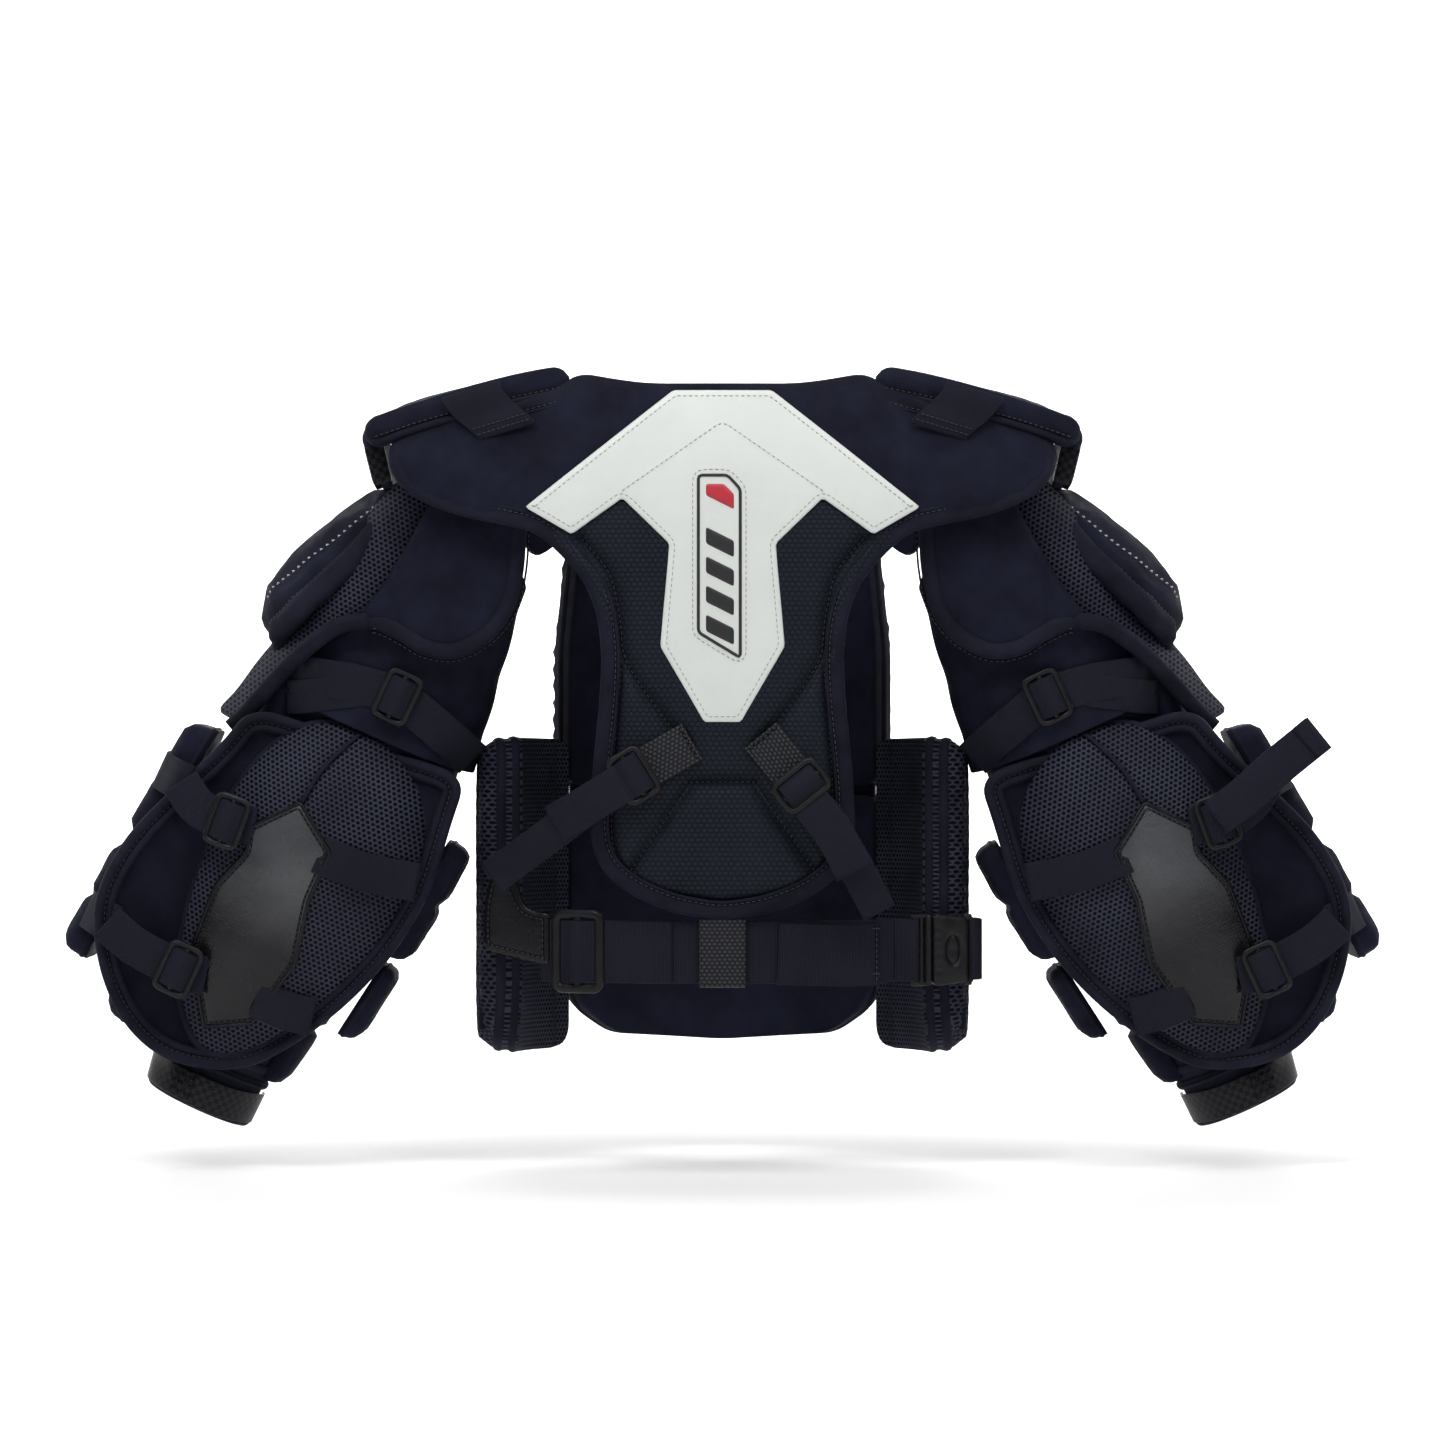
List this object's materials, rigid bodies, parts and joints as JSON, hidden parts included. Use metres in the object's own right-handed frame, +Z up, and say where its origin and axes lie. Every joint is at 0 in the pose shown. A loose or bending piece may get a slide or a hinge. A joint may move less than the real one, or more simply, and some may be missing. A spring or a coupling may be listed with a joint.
{
  "type": "goaltender chest and arm protector",
  "caption": "Padded ice-hockey goaltender's chest and arm protector with floating shoulder caps, hinged arm guards and a buckled waist belt.",
  "frame": {"origin": "centre of the neck opening, level with the top of the back yoke", "axes": "+X to the wearer's right, +Y to the wearer's front, +Z up"},
  "size_m": [1.0386, 0.2995, 0.6168],
  "materials": {
    "black_nylon": "woven nylon over foam, matt",
    "textured_nylon": "embossed nylon with a small scale pattern",
    "spacer_mesh": "knitted spacer mesh with oval holes",
    "elastic_webbing": "ribbed elastic",
    "coarse_webbing": "coarse woven webbing",
    "white_leather": "white synthetic leather, satin",
    "gloss_vinyl": "black vinyl, semi-gloss",
    "moulded_plastic": "black moulded acetal, satin"
  },
  "bodies": {
    "vest": {"arm_studs": "moulded_plastic", "back_panel": "textured_nylon", "back_strap_left": "elastic_webbing", "back_strap_right": "elastic_webbing", "back_yoke": "black_nylon", "belly_pad": "black_nylon", "belt_keeper": "coarse_webbing", "belt_side_tab": "gloss_vinyl", "buckle_male": "moulded_plastic", "cap_tabs": "elastic_webbing", "chest_pad": "black_nylon", "chevron_patch": "white_leather", "collar_straps": "black_nylon", "shoulder_bridge_left": "black_nylon", "shoulder_bridge_right": "black_nylon", "side_pad_left": "spacer_mesh", "side_pad_right": "spacer_mesh", "sternum_guard": "black_nylon", "waist_belt": "elastic_webbing"},
    "upper_arm_left": {"upper_arm_guard_left": "black_nylon", "rear_flap_left": "black_nylon", "upper_strap_left": "elastic_webbing"},
    "forearm_left": {"forearm_guard_left": "black_nylon", "elbow_cup_left": "moulded_plastic", "elbow_sling_left": "spacer_mesh", "elbow_patch_left": "gloss_vinyl", "outer_pads_left": "black_nylon", "inner_pads_left": "black_nylon", "elbow_strap_left": "elastic_webbing", "wrist_strap_left": "elastic_webbing", "wrist_cuff_left": "black_nylon", "cuff_tab_left": "gloss_vinyl"},
    "cap_left": {"shoulder_cap_left": "black_nylon"},
    "floater_left": {"biceps_floater_left": "black_nylon"},
    "upper_slider_left": {"upper_slider_left": "moulded_plastic"},
    "elbow_slider_left": {"elbow_slider_left": "moulded_plastic"},
    "wrist_slider_left": {"wrist_slider_left": "moulded_plastic"},
    "back_slider_left": {"back_slider_left": "moulded_plastic"},
    "upper_arm_right": {"upper_arm_guard_right": "black_nylon", "rear_flap_right": "black_nylon", "upper_strap_right": "elastic_webbing"},
    "forearm_right": {"forearm_guard_right": "black_nylon", "elbow_cup_right": "moulded_plastic", "elbow_sling_right": "spacer_mesh", "elbow_patch_right": "gloss_vinyl", "outer_pads_right": "black_nylon", "inner_pads_right": "black_nylon", "elbow_strap_right": "elastic_webbing", "wrist_strap_right": "elastic_webbing", "wrist_cuff_right": "black_nylon", "cuff_tab_right": "gloss_vinyl"},
    "cap_right": {"shoulder_cap_right": "black_nylon"},
    "floater_right": {"biceps_floater_right": "black_nylon"},
    "upper_slider_right": {"upper_slider_right": "moulded_plastic"},
    "elbow_slider_right": {"elbow_slider_right": "moulded_plastic"},
    "wrist_slider_right": {"wrist_slider_right": "moulded_plastic"},
    "back_slider_right": {"back_slider_right": "moulded_plastic"},
    "waist_slider": {"waist_slider": "moulded_plastic"},
    "buckle_housing": {"buckle_female": "moulded_plastic"},
    "buckle_button": {"buckle_button": "moulded_plastic"}
  },
  "joints": [
    {"name": "shoulder_raise_left", "type": "hinge", "parent": "vest", "child": "upper_arm_left", "pos_m": [-0.205, 0, -0.085], "axis": [0, 1, 0], "range_deg": [0, 50]},
    {"name": "elbow_bend_left", "type": "hinge", "parent": "upper_arm_left", "child": "forearm_left", "pos_m": [-0.31699, 0.025, -0.32517], "axis": [0.9063, 0, -0.4226], "range_deg": [0, 58]},
    {"name": "cap_lift_left", "type": "hinge", "parent": "vest", "child": "cap_left", "pos_m": [-0.118, 0, -0.007], "axis": [0, 1, 0], "range_deg": [0, 30]},
    {"name": "floater_lift_left", "type": "hinge", "parent": "upper_arm_left", "child": "floater_left", "pos_m": [-0.28788, 0, -0.09711], "axis": [0, 1, 0], "range_deg": [0, 12]},
    {"name": "upper_slider_shift_left", "type": "slide", "parent": "upper_arm_left", "child": "upper_slider_left", "axis": [-0.9063, 0, 0.4226], "range_m": [-0.012, 0.012]},
    {"name": "elbow_slider_shift_left", "type": "slide", "parent": "forearm_left", "child": "elbow_slider_left", "axis": [-0.9063, 0, 0.4226], "range_m": [-0.012, 0.012]},
    {"name": "wrist_slider_shift_left", "type": "slide", "parent": "forearm_left", "child": "wrist_slider_left", "axis": [-0.9063, 0, 0.4226], "range_m": [-0.012, 0.012]},
    {"name": "shoulder_raise_right", "type": "hinge", "parent": "vest", "child": "upper_arm_right", "pos_m": [0.205, 0, -0.085], "axis": [0, -1, 0], "range_deg": [0, 50]},
    {"name": "elbow_bend_right", "type": "hinge", "parent": "upper_arm_right", "child": "forearm_right", "pos_m": [0.31699, 0.025, -0.32517], "axis": [0.9063, 0, 0.4226], "range_deg": [0, 58]},
    {"name": "cap_lift_right", "type": "hinge", "parent": "vest", "child": "cap_right", "pos_m": [0.118, 0, -0.007], "axis": [0, -1, 0], "range_deg": [0, 30]},
    {"name": "floater_lift_right", "type": "hinge", "parent": "upper_arm_right", "child": "floater_right", "pos_m": [0.28788, 0, -0.09711], "axis": [0, -1, 0], "range_deg": [0, 12]},
    {"name": "upper_slider_shift_right", "type": "slide", "parent": "upper_arm_right", "child": "upper_slider_right", "axis": [0.9063, 0, 0.4226], "range_m": [-0.012, 0.012]},
    {"name": "elbow_slider_shift_right", "type": "slide", "parent": "forearm_right", "child": "elbow_slider_right", "axis": [0.9063, 0, 0.4226], "range_m": [-0.012, 0.012]},
    {"name": "wrist_slider_shift_right", "type": "slide", "parent": "forearm_right", "child": "wrist_slider_right", "axis": [0.9063, 0, 0.4226], "range_m": [-0.012, 0.012]},
    {"name": "back_slider_shift_left", "type": "slide", "parent": "vest", "child": "back_slider_left", "axis": [-0.8551, 0.013, -0.5183], "range_m": [-0.01, 0.008]},
    {"name": "back_slider_shift_right", "type": "slide", "parent": "vest", "child": "back_slider_right", "axis": [0.6401, 0.0128, -0.7682], "range_m": [-0.01, 0.008]},
    {"name": "waist_slider_shift", "type": "slide", "parent": "vest", "child": "waist_slider", "axis": [0.9206, -0.3906, 0], "range_m": [-0.008, 0.01]},
    {"name": "buckle_release", "type": "slide", "parent": "vest", "child": "buckle_housing", "axis": [0.9404, 0.3401, 0], "range_m": [0, 0.022]},
    {"name": "button_press", "type": "slide", "parent": "buckle_housing", "child": "buckle_button", "axis": [-0.3401, 0.9404, 0], "range_m": [0, 0.002], "stiffness_N_per_m": 800}
  ],
  "couplings": [
    {"joint": "cap_lift_left", "follows": "shoulder_raise_left", "ratio": 0.6},
    {"joint": "cap_lift_right", "follows": "shoulder_raise_right", "ratio": 0.6}
  ]
}
